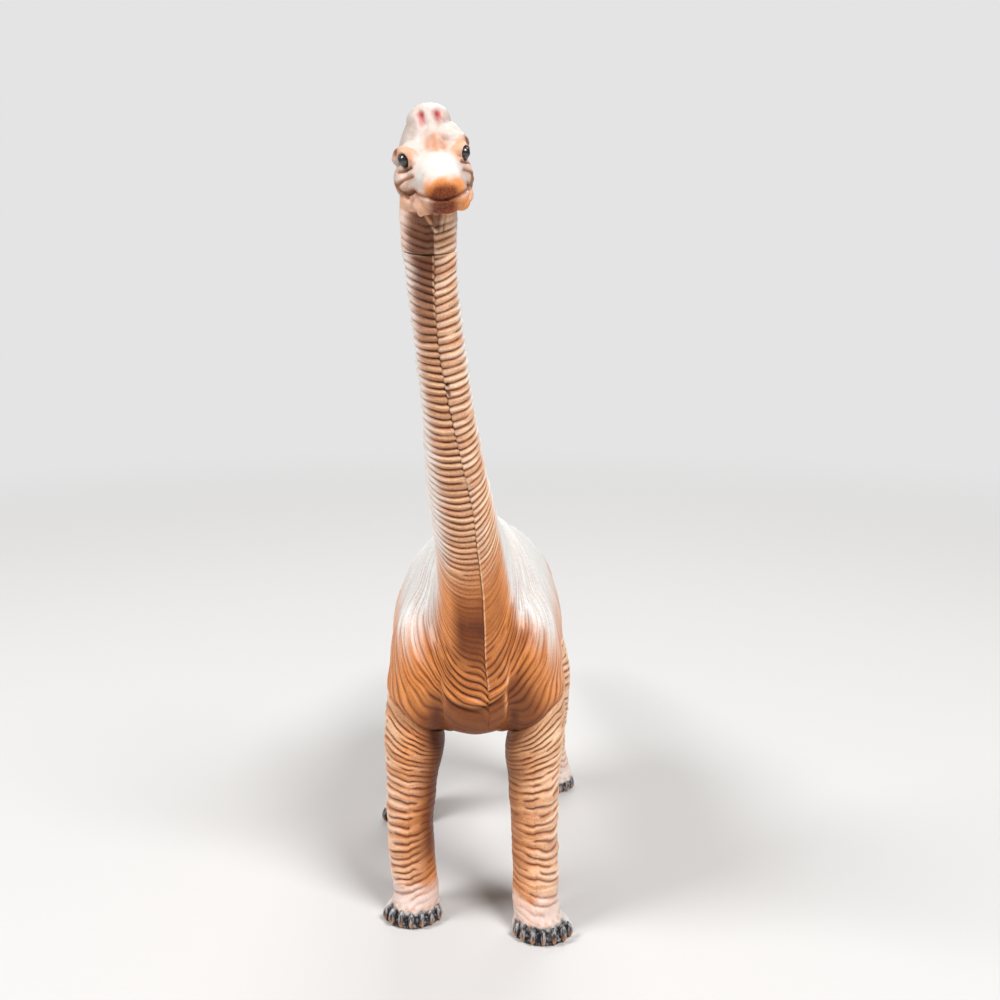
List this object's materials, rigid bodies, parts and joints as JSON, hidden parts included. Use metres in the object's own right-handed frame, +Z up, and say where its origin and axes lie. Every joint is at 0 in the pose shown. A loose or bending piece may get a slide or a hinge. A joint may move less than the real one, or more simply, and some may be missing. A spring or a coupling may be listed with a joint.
{
  "type": "toy dinosaur figure",
  "caption": "Long-necked dinosaur figure in soft plastic, with folded skin, turning legs, head and tail, standing on flat soles.",
  "frame": {"origin": "on the ground, in the middle of the footprint of the whole figure's box", "axes": "+Z up, the figure faces -Y with its tail towards +Y, +X to its own left"},
  "size_m": [0.0934, 0.3248, 0.2995],
  "materials": {
    "body_skin": "satin soft plastic, orange-brown with a pale airbrushed back and dark washed folds",
    "head_skin": "satin soft plastic, whitish with a rust-brown snout tip and red nostrils",
    "leg_skin": "satin soft plastic, orange-brown with pale feet and charcoal claws",
    "tail_skin": "satin soft plastic, pale above and brown below",
    "eye_gloss": "glossy black bead"
  },
  "bodies": {
    "trunk": {"body_left_shell": "body_skin", "body_right_shell": "body_skin"},
    "head": {"head": "head_skin", "left_eye": "eye_gloss", "right_eye": "eye_gloss"},
    "front_left_leg": {"front_left_leg": "leg_skin"},
    "front_right_leg": {"front_right_leg": "leg_skin"},
    "rear_left_leg": {"rear_left_leg": "leg_skin"},
    "rear_right_leg": {"rear_right_leg": "leg_skin"},
    "tail": {"tail": "tail_skin"}
  },
  "joints": [
    {"name": "front_left_leg_turn", "type": "hinge", "parent": "trunk", "child": "front_left_leg", "pos_m": [0.02283, -0.09325, 0.087], "axis": [-0.5807, 0, 0.8141], "range_deg": [-20, 20]},
    {"name": "front_right_leg_turn", "type": "hinge", "parent": "trunk", "child": "front_right_leg", "pos_m": [-0.02277, -0.09325, 0.087], "axis": [0.5807, 0, 0.8141], "range_deg": [-20, 20]},
    {"name": "rear_left_leg_turn", "type": "hinge", "parent": "trunk", "child": "rear_left_leg", "pos_m": [0.02253, -0.00325, 0.099], "axis": [-0.8191, 0, 0.5736], "range_deg": [-20, 20]},
    {"name": "rear_right_leg_turn", "type": "hinge", "parent": "trunk", "child": "rear_right_leg", "pos_m": [-0.02247, -0.00325, 0.099], "axis": [0.8191, 0, 0.5736], "range_deg": [-20, 20]},
    {"name": "head_turn", "type": "hinge", "parent": "trunk", "child": "head", "pos_m": [-0.01327, -0.13298, 0.25555], "axis": [0, -0.2707, 0.9626], "range_deg": [-35, 35]},
    {"name": "tail_turn", "type": "hinge", "parent": "trunk", "child": "tail", "pos_m": [0.00003, 0.02075, 0.117], "axis": [0, 1, 0], "range_deg": [-30, 30]}
  ]
}
